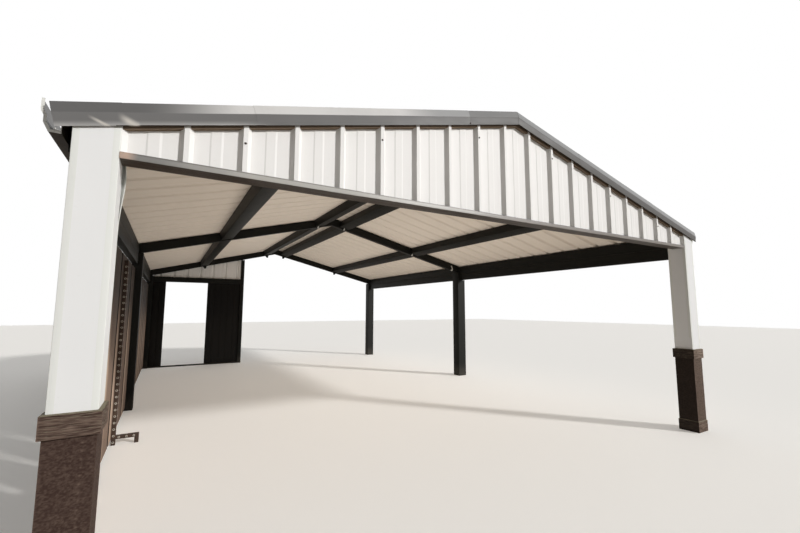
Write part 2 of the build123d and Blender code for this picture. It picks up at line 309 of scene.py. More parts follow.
def ridden(made, nodes=()):
    """Lets a new object ride on the one body and the CAD nodes it stands for."""
    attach(made, "root")
    if nodes:
        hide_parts(*nodes)
    return made


def softened(name, radius, material, shortest=0.25):
    """Copy of a CAD node, its triangles joined and its edges longer than the shortest rolled to the radius."""
    shape = bmesh.new()
    shape.from_mesh(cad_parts[name].data)
    bmesh.ops.remove_doubles(shape, verts=shape.verts, dist=merge_gap)
    bmesh.ops.dissolve_limit(shape, angle_limit=flat_angle, verts=shape.verts, edges=shape.edges)
    sharp = [edge for edge in shape.edges
             if edge.calc_length() > shortest and edge.calc_face_angle(0.0) > corner_angle]
    bmesh.ops.bevel(shape, geom=sharp, offset=radius, segments=2, profile=0.6, affect="EDGES",
                    clamp_overlap=True)
    mesh = bpy.data.meshes.new(name + "_tube")
    shape.to_mesh(mesh)
    shape.free()
    mesh.materials.append(material)
    mesh.shade_smooth()
    mesh.set_sharp_from_angle(angle=smooth_angle)
    return ridden(added(mesh.name, mesh), (name,))


frame_paint = painted("frame_paint", frame_black, frame_dust, cover=0.22, size=2.2, runs=0.10, rough=0.5,
                      shine=0.16, dent=0.003, dent_size=5.0, dusty=0.7, splash=0.3)
for name in list(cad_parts):
    if name.startswith(frame_nodes):
        softened(name, tube_corner, frame_paint)

# Welds: beads run along the ends of each purlin and along the rafter ends at the eave beams,
# laid in short overlapping puddles and sprayed over with the frame
weld_radius, puddle, ripple_share, tail_share = 0.005, 0.006, 0.16, 0.4
purlin_deep, rafter_deep = 0.1253, 0.1403
purlin_top, rafter_top = 0.004, 0.01
bead_corners, puddle_rings, fewest_rings, bead_askew = 8, 3, 4, (0.29, 0.31, 0.9)
slope = 0.25
cosine = 1.0 / math.hypot(1.0, slope)
sine = slope * cosine
sheet_high = 0.035
ridge_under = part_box("roof_right")[1][2] - sheet_high / cosine
to_right, to_back, to_top = np.eye(3)


def row(x, y, z):
    """Point rows from three coordinates, each one number or an array."""
    return np.stack(np.broadcast_arrays(x, y, z), axis=-1)


def laid(s, y, n, side):
    """Slope to space: x = side (s cos + n sin), z = ridge - s sin + n cos, s down the slope and n off it."""
    return row(side * (s * cosine + n * sine), y, ridge_under - s * sine + n * cosine)


def off(side):
    """Direction square to a roof slope, outward."""
    return laid(0.0, 0.0, 1.0, side) - laid(0.0, 0.0, 0.0, side)


def unit(way):
    """Directions of length 1: each row over its own length."""
    return way / np.linalg.norm(way, axis=-1, keepdims=True)


def circle(sides):
    """Corners (cos t, sin t) of a round outline, t in equal steps."""
    t = np.arange(sides) * 2 * math.pi / sides
    return np.stack([np.cos(t), np.sin(t)], axis=-1)


def wrapped(rings, around):
    """Faces of a stack of rings: quads between neighbours, and a lid at each end."""
    ring, turn = np.meshgrid(np.arange(rings - 1), np.arange(around), indexing="ij")
    here, after = ring * around + turn, ring * around + (turn + 1) % around
    wall = np.stack([here, after, after + around, here + around], axis=-1).reshape(-1, 4)
    return [wall, np.stack([np.arange(around)[::-1], (rings - 1) * around + np.arange(around)])]


def carried(outline, spine, across, upward):
    """Closed bar: each corner (a, b) of the outline, at each place of the spine, is spine + a across + b up."""
    count, corners = len(spine), outline.shape[-2]
    outline = np.broadcast_to(outline, (count, corners, 2))
    across = np.broadcast_to(across, (count, 3))[:, None]
    upward = np.broadcast_to(upward, (count, 3))[:, None]
    points = spine[:, None] + outline[..., :1] * across + outline[..., 1:] * upward
    return points.reshape(-1, 3), wrapped(count, corners)


def turned_out(points, faces):
    """Faces wound outward: the corner triple products summed over every fan of a closed shell are above 0."""
    total = 0.0
    for group in faces:
        for k in range(1, group.shape[1] - 1):
            total += np.sum(points[group[:, 0]] * np.cross(points[group[:, k]], points[group[:, k + 1]]))
    return faces if total > 0.0 else [group[:, ::-1] for group in faces]


def piece(name, shells, material, nodes=(), crease=0.5):
    """New object from closed shells, smooth over edges flatter than the crease, that rides on the body."""
    starts = np.cumsum([0] + [len(points) for points, faces in shells])
    faces = [group + start for shell, start in zip(shells, starts) for group in turned_out(*shell)]
    made = surface(name, np.concatenate([points for points, held in shells]), faces)
    made.data.materials.append(material)
    made.data.shade_smooth()
    made.data.set_sharp_from_angle(angle=crease)
    return ridden(made, nodes)


def bead(start, end):
    """Weld bead: a ring of corners carried from start to end, its radius rippling once a puddle."""
    length = np.linalg.norm(end - start)
    at = np.linspace(0.0, 1.0, max(fewest_rings, int(length / puddle * puddle_rings)) + 1)
    run = (end - start) / length
    one = unit(np.cross(run, bead_askew))
    ripple = weld_radius * (1.0 + ripple_share * np.abs(np.sin(at * length / puddle * math.pi)))
    ripple[[0, -1]] *= tail_share
    outline = ripple[:, None, None] * circle(bead_corners)
    return carried(outline, start + at[:, None] * (end - start), one, np.cross(run, one))


welds = []
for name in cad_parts:
    if not name.startswith(("purlin_", "rafter_mid", "rafter_rear")):
        continue
    lo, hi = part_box(name)
    side = 1.0 if hi[0] > 0.1 else -1.0
    inner, outer = sorted((abs(lo[0]), abs(hi[0])))
    if name.startswith("purlin_"):
        near, far = (inner + purlin_deep * sine) / cosine, outer / cosine
        lines = [line for y in (lo[1], hi[1])
                 for line in (((near, y, -purlin_deep), (near, y, -purlin_top)),
                              ((far, y, -purlin_deep), (far, y, -purlin_top)),
                              ((near, y, -purlin_deep), (far, y, -purlin_deep)))]
    else:
        foot, head = (outer + rafter_deep * sine) / cosine, (outer + rafter_top * sine) / cosine
        lines = [((foot, y, -rafter_deep), (head, y, -rafter_top)) for y in (lo[1], hi[1])]
        lines.append(((foot, lo[1], -rafter_deep), (foot, hi[1], -rafter_deep)))
    welds += [bead(laid(*start, side), laid(*stop, side)) for start, stop in lines]
piece("frame_welds", welds, frame_paint, crease=1.2)

# Plates under the rear rafters: small tapered steel plates welded below each purlin line,
# and four bent wire hooks with white plastic skin screwed to the middle frame
plate_places = (-1.87, -0.27, 0.27, 1.87)
plate_half, plate_tip, plate_drop, plate_weld = 0.0475, 0.018, 0.062, 0.002
plate_thick, plate_back = 0.006, 0.03
hook_places = (-0.304, 0.245, 1.800, 2.853)
hook_wire, hook_drop, hook_bend, hook_deep = 0.0095, 0.1, 0.008, 0.06
wire_corners, wire_askew = 8, (0.99, 0.1, 0.05)
zinc_white, zinc_soil = tint(225, 223, 216), tint(150, 146, 138)


def rolled(line, radius, steps=4):
    """Line with round corners: (1-t)^2 start + 2t(1-t) corner + t^2 stop, radius away along both legs."""
    corner = line[1:-1]
    back, on = unit(line[:-2] - corner), unit(line[2:] - corner)
    t = np.linspace(0.0, 1.0, steps + 1)[None, :, None]
    start, stop = (corner + radius * back)[:, None], (corner + radius * on)[:, None]
    bends = (1 - t) ** 2 * start + 2 * t * (1 - t) * corner[:, None] + t ** 2 * stop
    return np.concatenate([line[:1], bends.reshape(-1, line.shape[1]), line[-1:]])


def wire(line, radius):
    """Round wire along a smooth line: circles square to the mean of the legs that meet at each point."""
    leg = unit(np.gradient(line, axis=0))
    one = unit(np.cross(leg, wire_askew))
    return carried(radius * circle(wire_corners), line, one, np.cross(leg, one))


plate_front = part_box("rafter_rear_right")[0][1] + plate_back
plate_line = np.array([[-plate_half, plate_weld], [plate_half, plate_weld], [plate_tip, -plate_drop],
                       [-plate_tip, -plate_drop]])
plates = []
for at in plate_places:
    side = math.copysign(1.0, at)
    down_slope = laid(1.0, 0.0, 0.0, side) - laid(0.0, 0.0, 0.0, side)
    spine = laid(abs(at) / cosine, np.array([plate_front, plate_front + plate_thick]), -rafter_deep, side)
    plates.append(carried(plate_line, spine, down_slope, off(side)))
piece("rafter_plates", plates, frame_paint)

hook_skin = painted("hook_skin", zinc_white, zinc_soil, cover=0.3, size=30.0, rough=0.35, dent=0.0005)
hook_line = np.array([[0.0, 0.01, 0.0], [0.0, -0.012, 0.0], [0.0, -0.012, -0.030], [0.0, -0.030, -0.052],
                      [0.0, -0.030, -hook_drop], [0.0, 0.004, -hook_drop], [0.0, 0.004, -hook_drop + 0.022]])
hook_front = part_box("rafter_mid_right")[0][1] - hook_wire
hook_tops = [laid(abs(at) / cosine, hook_front, -hook_deep, math.copysign(1.0, at)) for at in hook_places]
hooks = [wire(top + rolled(hook_line, hook_bend), hook_wire) for top in hook_tops]
piece("frame_hooks", hooks, hook_skin, crease=1.0)

# Roof: ribbed sheet of galvanised steel, coil coated white above and with a thin beige wash coat
# below, made warmer and paler as painted bounce light from a sunny floor; a sheet to every three
# ribs, each side rib lapped over the last and screwed to the purlins
sheet_white, sheet_soil, wash_coat_and_bounce = tint(238, 237, 233), tint(188, 180, 167), tint(247, 234, 218)
rib_pitch, rib_count, sheet_ribs, roof_margin = 0.3048, 32, 3, 0.045
crest_half, foot_half, rib_rise = 0.013, 0.037, 0.032
skin, sheet_thick, air, crest_air = 0.0009, 0.003, 0.0002, 0.0003
lap_tail, lap_top, lap_short, lap_steps = 0.012, 0.05, 0.002, 12
screw_aside, lap_screw_aside, screw_end, stud_askew = 0.014, 0.022, 0.08, (0.31, 0.95, 0.11)
screw_lines = (0.27, 1.87, 3.085)
stitch_lines = (0.9, 1.4, 2.4, 2.8)
low_rise = 0.0025
low_first, low_second, low_inner, low_near = 0.094, 0.1948, 0.112, 0.002
low_from = np.array([0.0, foot_half, 0.089, low_first, 0.110, 0.1898, low_second, 0.2108, 0.2158,
                     rib_pitch - foot_half, rib_pitch])
low_to = np.array([0.0, foot_half, 0.117, 0.125, 0.138, 0.1668, 0.1728, 0.1778, 0.1898,
                   rib_pitch - foot_half, rib_pitch])


def dress(name, material):
    """Gives a CAD node its finish."""
    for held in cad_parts[name].material_slots:
        held.material = material


def broadened(name, axis, first, out, material):
    """Copy of a sheet node with one broad low rib in mid-pan, drawn together from the two narrow ones there.

    From one tall rib to the next the places along the axis follow the piecewise straight curve low_from to
    low_to. What lies between the narrow ribs rises with them by out. The sloped top edge stays on its slope.
    """
    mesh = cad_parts[name].data.copy()
    mesh.name = name + "_sheet"
    points = np.empty(3 * len(mesh.vertices))
    mesh.vertices.foreach_get("co", points)
    points = points.reshape(-1, 3)
    pan, t = np.divmod(points[:, axis] - first, rib_pitch)
    whole = np.isin(pan, pan[np.abs(t - low_first) < low_near])
    whole &= np.isin(pan, pan[np.abs(t - low_second) < low_near])
    moved = points[:, axis] + np.where(whole, np.interp(t, low_from, low_to) - t, 0.0)
    if axis == 0:
        upper = points[:, 2] > points[:, 2].min() + air
        points[:, 2] -= np.where(upper, slope * (np.abs(moved) - np.abs(points[:, 0])), 0.0)
    points[:, axis] = moved
    between = whole & (t > low_inner) & (t < low_second - low_near)
    points += between[:, None] * np.array(out)
    mesh.vertices.foreach_set("co", points.ravel())
    mesh.materials.clear()
    mesh.materials.append(material)
    mesh.update()
    return ridden(added(mesh.name, mesh), (name,))


def shifted(line, distance):
    """Line moved sideways, to the right of travel for a distance above 0, its corners mitred."""
    leg = unit(np.diff(line, axis=0))
    right = np.stack([leg[:, 1], -leg[:, 0]], axis=1)
    mean = (np.concatenate([right[:1], right]) + np.concatenate([right, right[-1:]])) / 2
    return line + mean * distance / np.sum(mean ** 2, axis=1, keepdims=True)


def folded(line, thickness):
    """Closed outline of a folded sheet: the line out and, a thickness to its right, the line back."""
    return np.concatenate([line, shifted(line, thickness)[::-1]])


def studs(centres, axis, rings, sides=12):
    """Turned studs: ring (r, h) of each is centre + h axis + r (cos t one + sin t two), closed at both ends."""
    centres = np.asarray(centres, float).reshape(-1, 3)
    axis = unit(np.asarray(axis, float))
    one = unit(np.cross(axis, stud_askew))
    round_it = circle(sides) @ np.stack([one, np.cross(axis, one)])
    radius, height = np.array(rings).T[..., None, None]
    points = centres[:, None, None] + (height * axis + radius * round_it)[None]
    start = (np.arange(len(centres)) * len(rings) * sides)[:, None, None]
    faces = [(group + start).reshape(-1, group.shape[1]) for group in wrapped(len(rings), sides)]
    return points.reshape(-1, 3), faces


def screws(centres, axis):
    """Self-drilling screws: a domed washer and a six-sided head on each centre."""
    washer = studs(centres, axis, [(0.0075, -0.001), (0.0075, 0.001), (0.0055, 0.0022)])
    head = studs(centres, axis, [(0.0044, 0.001), (0.0044, 0.0062), (0.0036, 0.0070)], sides=6)
    return [washer, head]


(_, roof_front, _), (roof_reach, roof_back, _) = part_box("roof_right")
first_roof_rib = roof_front + roof_margin
# the underside takes the wash coat colour, with painted bounce light in it
roof_paint = painted("roof_paint", sheet_white, sheet_soil, cover=0.28, size=1.1, runs=0.22,
                     flow=(0.4, 7.0, 0.4), rough=0.42, dent=0.006, dent_size=1.6, below=wash_coat_and_bounce)
for name in ("roof_left", "roof_right"):
    broadened(name, 1, first_roof_rib, [0.0, 0.0, low_rise / cosine], roof_paint)
count = np.arange(rib_count)
ribs = first_roof_rib + rib_pitch * count
lapped = (count > 0) & (count % sheet_ribs == 0)
beside = ribs + np.where(lapped, lap_screw_aside, screw_aside) + foot_half
beside = beside[beside < roof_back - screw_end]
rib_lap = np.array([[-crest_half, rib_rise], [crest_half, rib_rise], [foot_half, 0.0],
                    [foot_half + lap_tail, 0.0]])
roof_lap = folded(rib_lap + [0.0, sheet_thick + air + skin], skin)
roof_screws, roof_laps = [], []
for side in (-1.0, 1.0):
    spine = laid(np.linspace(lap_top, roof_reach / cosine - lap_short, lap_steps), 0.0, 0.0, side)
    roof_laps += [carried(roof_lap, spine + y * to_back, to_back, off(side)) for y in ribs[lapped]]
    for x in screw_lines:
        roof_screws += screws(laid(x / cosine, beside, sheet_thick + air, side), off(side))
    for x in stitch_lines:
        roof_screws += screws(laid(x / cosine, ribs[lapped], sheet_high + crest_air + skin, side), off(side))
piece("roof_laps", roof_laps, roof_paint, crease=0.3)
screw_paint = painted("screw_paint", tint(206, 204, 198), tint(120, 112, 102), cover=0.4, size=40.0, rough=0.3,
                      metal=0.4, dent=0.0003)
piece("roof_screws", roof_screws, screw_paint)

# Ridge cap: folded flashing in three lengths lapped by a hand's width, screwed down on the rib crests
cap_over, cap_reach, cap_screw_at, cap_air = 0.0386, 0.1905, 0.158, 0.0001
cap_seams, cap_lap = (-1.62, 1.53), 0.11
cap_paint = painted("cap_paint", sheet_white, sheet_soil, size=1.6, rough=0.34, flow=(0.6, 6.0, 0.6))
dress("ridge_cap", cap_paint)
cap_screws = [made for side in (-1.0, 1.0)
              for made in screws(laid(cap_screw_at / cosine, ribs[1:-1], cap_over + skin, side), off(side))]
cap_ridge = ridge_under + (cap_over + cap_air + skin) / cosine
cap_edge = cap_ridge - slope * cap_reach
cap_line = folded(np.array([[-cap_reach, cap_edge], [0.0, cap_ridge], [cap_reach, cap_edge]]), skin)
cap_laps = [carried(cap_line, row(0.0, np.array([y, y + cap_lap]), 0.0), to_right, to_top) for y in cap_seams]
piece("cap_laps", cap_laps, cap_paint, crease=0.1)
piece("cap_screws", cap_screws, screw_paint)

# Front gable wall and rear infill: the same sheet set upright with plumb ribs, stitched through
# every third rib with dark screws just under the rake trim
wall_white, wall_soil = tint(243, 241, 238), tint(206, 198, 186)
(_, wall_front, wall_foot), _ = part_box("gable_front")
wall_y = wall_front + rib_rise
first_rib, wall_ribs, trim_low, stitch_drop = -2.59, 18, 0.100, 0.095
lap_aside, lap_below, lap_above, wall_steps = 0.02, 0.012, 0.001, 8
wall_paint = painted("wall_paint", wall_white, wall_soil, cover=0.12, size=1.3, runs=0.22, rough=0.5, shine=0.2,
                     dent=0.005, dent_size=2.2)
broadened("gable_front", 0, first_rib, [0.0, -low_rise, 0.0], wall_paint)
dress("infill_rear", wall_paint)
centres = first_rib + rib_pitch * np.arange(wall_ribs)
stitched = centres[1::sheet_ribs]
stitch_steel = painted("stitch_steel", tint(70, 62, 56), tint(110, 96, 84), cover=0.4, size=60.0, rough=0.5,
                       metal=0.3, dent=0.0003)
stitch_high = ridge_under - slope * np.abs(stitched) - trim_low / cosine - stitch_drop
stitches = row(stitched, wall_front - skin, stitch_high)
piece("wall_screws", screws(stitches, -to_back), stitch_steel)
wall_lap = folded(rib_lap * [1.0, -1.0] - [0.0, air + skin], -skin)
wall_laps = []
for x in stitched:
    high = ridge_under - slope * abs(x + lap_aside * np.sign(x)) - lap_below
    spine = row(x, wall_y, np.linspace(wall_foot + lap_above, high, wall_steps))
    wall_laps.append(carried(wall_lap, spine, to_right, to_back))
piece("wall_laps", wall_laps, wall_paint, crease=0.3)

# Closure strips: brown foam cut to fit between the ribs and pressed under the front trims, with its
# lower edge showing; each strip is cut square at the ribs and at the ridge. Their brown is partly
# painted shade from the trims above
closure_high, closure_low, closure_out, closure_in = -0.060, -0.103, -0.030, -0.0028
wall_end, crest_gap, foot_gap = 2.884, 0.017, 0.036
# foam colour, partly painted shade under the trims
foam_and_shade = painted("foam_and_shade", tint(122, 106, 90), tint(84, 69, 55), cover=0.4, size=14.0, runs=0.3, rough=0.9,
               shine=0.1, dent=0.002, dent_size=30.0)
ends = [(-wall_end, 0.0)] + [(x, 1.0) for x in centres] + [(wall_end, 0.0)]
ring = np.array([[closure_in, closure_low], [closure_out, closure_low], [closure_out, closure_high],
                 [closure_in, closure_high]])
flank = np.where(ring[:, 0] == closure_in, foot_gap, crest_gap)
closures = []
for (a, in_a), (b, in_b) in zip(ends[:-1], ends[1:]):
    halves = [(a, 0.0, in_a, 0.0), (0.0, b, 0.0, in_b)] if a < 0.0 < b else [(a, b, in_a, in_b)]
    for start, stop, in_start, in_stop in halves:
        x = np.stack([start + in_start * flank, stop - in_stop * flank])
        s = (np.abs(x) - ring[:, 1] * sine) / cosine
        points = laid(s, wall_y + ring[:, 0], ring[:, 1], 1.0 if start + stop > 0.0 else -1.0)
        closures.append((points.reshape(-1, 3), wrapped(*points.shape[:2])))
piece("closures", closures, foam_and_shade)

# Rake trims: bronze grey sheet folded with a bevelled shoulder, an upright face and a return, in lapped
# lengths; the pale shoulder is a painted sky reflection that grows to a painted glint towards the ridge
# and stops at the corner length; near the corner the face has a painted reflection low down and painted
# highlights along two creases, and the underside has painted shade
trim_skin, trim_step, trim_lap, trim_grown = 0.0016, 0.03, 0.045, 0.0014
trim_dent, dent_pitch = 0.0022, 3.1
rake_leg, rake_turn, rake_out, rake_back = 0.070, -0.035, -0.052, -0.037
rake_top, rake_fold, rake_low, rake_lip = 0.0383, -0.024, -0.094, -0.080
rake_cuts = {("front", -1.0): (0.57, 2.20, 2.885), ("front", 1.0): (0.855, 2.135),
             ("rear", -1.0): (1.05, 2.30), ("rear", 1.0): (1.05, 2.30)}
trim_grey, trim_painted_reflection, trim_painted_glint = tint(118, 117, 116), tint(224, 222, 219), tint(168, 168, 168)
trim_face, trim_right_reflection, trim_corner = tint(99, 97, 95), tint(148, 148, 148), tint(104, 103, 102)
trim_shade, trim_under_shade = tint(84, 81, 79), tint(66, 56, 47)
trim_soil, trim_crease_glint = tint(146, 141, 134), tint(205, 200, 192)
# Each pair: the place along the width, or up the slope, where a tone begins and where it is full
corner_span, near_peak, near_corner = (-2.3, -2.9), (-1.3, -0.85), (-2.1, -2.4)
last_start, last_end, last_share = (-0.575, -0.565), (0.02, 0.0), 0.45
low_reflection, low_reflection_share, soil_share = (-0.06, -0.098), 0.45, 0.35
crease_lines = ((-3.03, 0.013), (-2.91, 0.030))
crease_slope, crease_high, crease_in, crease_out, crease_front = 0.62, 0.036, (0.0, 0.06), (0.11, 0.095), (-4, -4.5)
trim_bend, face_screw_at, face_screw_up = 0.004, 0.585, 0.016
rake_screw_in, rake_screw_from, rake_screw_to, rake_screw_pitch = 0.045, 0.12, 3.2, 0.305


def value_noise(u, v, seed):
    """Noise in 0 to 1: seeded heights on a unit lattice, blended between the corners by 3t^2 - 2t^3."""
    table = np.random.default_rng(seed).random((97, 97))
    cell_u, cell_v = np.floor(u).astype(int), np.floor(v).astype(int)
    t_u, t_v = u - cell_u, v - cell_v
    t_u, t_v = t_u ** 2 * (3 - 2 * t_u), t_v ** 2 * (3 - 2 * t_v)
    rows = [table[cell_u % 97, at % 97] * (1 - t_u) + table[(cell_u + 1) % 97, at % 97] * t_u
            for at in (cell_v, cell_v + 1)]
    return rows[0] * (1 - t_v) + rows[1] * t_v


def rest_of(value):
    """What a value leaves of 1."""
    return maths("SUBTRACT", 1.0, value)


def trim_with_painted_light(name, colour, pale, ridge, shine):
    """Trim finish: sheet colour, painted reflection and highlights, painted shade under, broad dents and
    streaks along the length.
    """
    material, shader, place = finish(name, rough=0.42, shine=shine)
    turned = placed(facing, place)
    streaks = placed(patches, place, Stretch=(0.6, 6.0, 6.0), Scale=3.0, Cover=0.5, Soft=0.4)
    clouds = placed(patches, place, Scale=2.2, Cover=0.45, Soft=0.4)
    along, deep, up = axes(place)
    # the painted reflection on the shoulder fades out over the corner length and grows to a painted glint near
    # the ridge
    corner = ramp(along, *corner_span)
    shoulder_reflection = times(turned["Slant"], rest_of(corner))
    base = over(colour, pale, shoulder_reflection)
    base = over(base, ridge, shoulder_reflection, ramp(along, *near_peak))
    base = over(base, trim_shade, ramp(along, *last_start), ramp(along, *last_end), last_share)
    base = over(base, trim_corner, turned["Slant"], corner)
    out = scaled(up, cosine, times(maths("ABSOLUTE", along), sine))
    # painted reflection: the lower part of the face near the corner is paler
    low = ramp(maths("SUBTRACT", out, ridge_under * cosine), *low_reflection)
    near = times(ramp(along, *near_corner), rest_of(turned["Slant"]))
    base = over(base, pale, low, near, low_reflection_share)
    # painted highlights: pale lines along two creases in the face near the corner
    creases = 0.0
    for start, wide in crease_lines:
        run = maths("SUBTRACT", along, start)
        line = scaled(run, crease_slope, maths("SUBTRACT", out, ridge_under * cosine - crease_high))
        on_line = ramp(maths("ABSOLUTE", line), wide, 0.0)
        crease = times(on_line, ramp(run, *crease_in), ramp(run, *crease_out))
        creases = maths("MAXIMUM", creases, crease)
    # painted shade on the faces that look down
    base = over(base, trim_under_shade, turned["Down"])
    base = over(base, trim_soil, clouds["Mask"], soil_share)
    base = over(base, trim_crease_glint, creases, ramp(deep, *crease_front))
    broad = relief(noise(place, scale=2.6, detail=1.0), depth=0.012)
    fed(shader, Base_Color=base, Roughness=scaled(streaks["Mask"], by=0.18, plus=0.38),
        Normal=relief(streaks["Cloud"], depth=0.001, strength=0.2, under=broad))
    return material


# The right trims take a darker face and shoulder than the left; both carry the same painted light
rake_paints = {-1.0: trim_with_painted_light("rake_paint_left", trim_grey, trim_painted_reflection, trim_painted_glint, shine=0.08),
               1.0: trim_with_painted_light("rake_paint_right", trim_face, trim_right_reflection, trim_right_reflection, shine=0.1)}
rake_line = np.array([[rake_back, rake_lip], [rake_out, rake_low], [rake_out, rake_fold], [rake_turn, rake_top],
                      [rake_leg, rake_top]])
rake_line = shifted(rolled(rake_line, trim_bend, steps=3), air)
end_s = (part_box("rake_front_right")[1][0] - rake_top * sine) / cosine
for (end, side), cuts in rake_cuts.items():
    stops = [0.0] + [x / cosine for x in cuts] + [end_s]
    lengths = []
    for k, (start, stop) in enumerate(zip(stops[:-1], stops[1:])):
        lap = 0.0 if k == len(cuts) else trim_lap
        s = np.linspace(start, stop + lap, max(6, int((stop - start) / trim_step)))
        dents = trim_dent * (value_noise(s * dent_pitch + 7.0 * side, 0 * s + 3.0, 5 + k) - 0.5)
        outline = np.stack([folded(shifted(rake_line, 0.0 if k % 2 else trim_grown), trim_skin)] * len(s))
        outline[:, :, 0] += np.where(outline[:, :, 1] < rake_fold / 2, dents[:, None], 0.0)
        outline[:, :, 0] *= 1.0 if end == "front" else -1.0
        spine = laid(s, wall_y if end == "front" else -wall_y, 0.0, side)
        upward = np.tile(off(side), (len(s), 1))
        if start == 0.0:
            spine[0] = laid(0.0, spine[0, 1], 0.0, side)
            upward[0] = to_top / cosine
        lengths.append(carried(outline, spine, to_back, upward))
    label = "rake_" + end + ("_left" if side < 0 else "_right")
    piece(label + "_trim", lengths, rake_paints[side], (label,), crease=0.45)
rake_screw_s = np.arange(rake_screw_from, rake_screw_to, rake_screw_pitch) / cosine
face_screw = laid(face_screw_at / cosine, wall_y + rake_out - trim_skin, rake_low + face_screw_up, -1.0)
rake_screws = screws(face_screw, -to_back)
for side in (-1.0, 1.0):
    for y in (wall_y + rake_screw_in, -wall_y - rake_screw_in):
        rake_screws += screws(laid(rake_screw_s, y, rake_top + trim_skin, side), off(side))
piece("rake_screws", rake_screws, stitch_steel)

# Header trim: two lengths of the same sheet with a drip lip under the wall sheet and a soffit back
# over the header tube, spliced left of the middle and scuffed at the left end
lip_out, lip_rise, lip_chamfer, soffit_back, soffit_drop = 0.040, 0.030, 0.008, 0.103, 0.0025
splice_at, splice_lap, lip_bend, lip_wave, lip_grown, lip_steps = -1.58, 0.05, 0.0025, 0.0012, 0.0012, 40
lip_grey, lip_streak, lip_pale = tint(158, 155, 150), tint(176, 172, 166), tint(180, 177, 170)
lip_left_tone, lip_brown, lip_top_shadow = tint(122, 120, 117), tint(106, 97, 89), tint(84, 81, 77)
lip_under_shade, lip_scuff = tint(62, 52, 44), tint(196, 168, 150)

header_low, header_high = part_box("header_trim")
bottom = header_high[2] - lip_rise
lip_line = np.array([[0.001, lip_rise - 0.0005], [0.0015 - lip_out, lip_rise - 0.0005], [0.0005 - lip_out, 0.0],
                     [0.0005 - lip_out, -lip_chamfer + 0.001], [0.012 - lip_out, -soffit_drop],
                     [soffit_back - 0.001, -soffit_drop]])
lip_line = rolled(lip_line, lip_bend, steps=2)
lip_paint, shader, place = finish("lip_paint", rough=0.40)
turned = placed(facing, place)
streaks = placed(patches, place, Stretch=(0.5, 8.0, 8.0), Scale=3.0, Cover=0.5, Soft=0.4)
scuffs = placed(patches, place, Stretch=(1.0, 1.0, 1.6), Scale=18.0, Cover=0.75, Soft=0.15)
along, _, up = axes(place)
base = over(lip_grey, lip_streak, streaks["Mask"], 0.45)
# Tones along the lip: paler from x -2.25, darker left of -2.5, browner right of -0.1; the last row darkens the
# top of the lip face, a painted shadow of the wall sheet
for value, start, stop, share, colour in (
        (along, -2.45, -2.25, 0.8, lip_pale), (along, -2.5, -2.75, 0.8, lip_left_tone),
        (along, -1.1, -0.1, 0.85, lip_brown), (up, bottom + 0.018, bottom + 0.026, 0.6, lip_top_shadow)):
    base = over(base, colour, ramp(value, start, stop), share)
base = over(base, lip_scuff, ramp(along, -2.80, -2.86), scuffs["Mask"], 0.85)
# painted shade on the faces that look down
base = over(base, lip_under_shade, turned["Down"])
fed(shader, Base_Color=base, Roughness=scaled(streaks["Mask"], by=0.2, plus=0.38),
    Normal=relief(streaks["Cloud"], depth=0.003))
lengths = []
for start, stop, grown, thick in ((header_low[0], splice_at + splice_lap, 0.0, -0.0012),
                                  (splice_at, header_high[0], -lip_grown, -0.0015)):
    x = np.linspace(start, stop, lip_steps)
    outline = np.stack([folded(shifted(lip_line, grown), thick)] * len(x))
    waves = lip_wave * (value_noise(x * 4.0 + 30.0, 0 * x, 11)[:, None] - 0.5)
    outline[:, :, 0] += waves * (outline[:, :, 0] < -0.03)
    lengths.append(carried(outline, row(x, wall_y, bottom), to_back, to_top))
piece("header_lip", lengths, lip_paint, ("header_trim",), crease=0.45)

# Gutters: folded white aluminium with an outer face that leans out to the lip, open at the front end,
# hung on flat straps screwed through the back
hanger_pitch, hanger_width, strap_thick, strap_drop, strap_bend = 0.61, 0.025, 0.0016, 0.064, 0.004
first_hanger, last_hanger, hem_width, gutter_deep, wall_in = 0.25, 0.1, 0.013, 0.163, 0.012
sides = ((-1.0, "left"), (1.0, "right"))
gutter_look = {"colour": tint(232, 232, 226), "soil": tint(150, 144, 132), "size": 2.0, "rough": 0.3,
               "dent": 0.004, "dent_size": 3.0}
gutter_paint = painted("gutter_paint", **gutter_look)
# The left gutter's copy adds painted shade: a dark underside and dark faces looking in towards the carport
gutter_painted_shade = painted("gutter_painted_shade", **gutter_look, below=tint(58, 50, 42), inward=tint(46, 42, 36))
hangers, hems = [], []
for side, label in sides:
    dress("gutter_" + label, gutter_painted_shade if side < 0 else gutter_paint)
    lo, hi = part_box("gutter_" + label)
    inner, outer = sorted((abs(lo[0]), abs(hi[0])))
    level = hi[2] - strap_drop
    line = np.array([[inner + 0.0032, level - 0.02], [inner + 0.0032, level], [outer - 0.0045, level + 0.008],
                     [outer - 0.0035, level + 0.020]])
    strap = folded(rolled(line, strap_bend, steps=3) * [side, 1.0], strap_thick * side)
    for y in np.arange(lo[1] + first_hanger, hi[1] - last_hanger, hanger_pitch):
        hangers.append(carried(strap, row(0.0, np.array([y, y + hanger_width]), 0.0), to_right, to_top))
    floor_z, wall = hi[2] - gutter_deep, outer - wall_in
    line = np.array([[inner + 0.004, floor_z], [inner + 0.0504, floor_z], [wall, floor_z + 0.0452],
                     [wall, floor_z + 0.0791], [outer, floor_z + 0.1017], [outer, hi[2]]])
    hem = folded(shifted(line * [side, 1.0], 2 * air * side), -hem_width * side)
    hem_ends = np.array([lo[1] - 0.0012, lo[1] + 0.0004])
    hems.append(carried(hem, row(0.0, hem_ends, 0.0), to_right, to_top))
piece("gutter_hangers", hangers, screw_paint)
piece("gutter_hems", hems, gutter_paint)

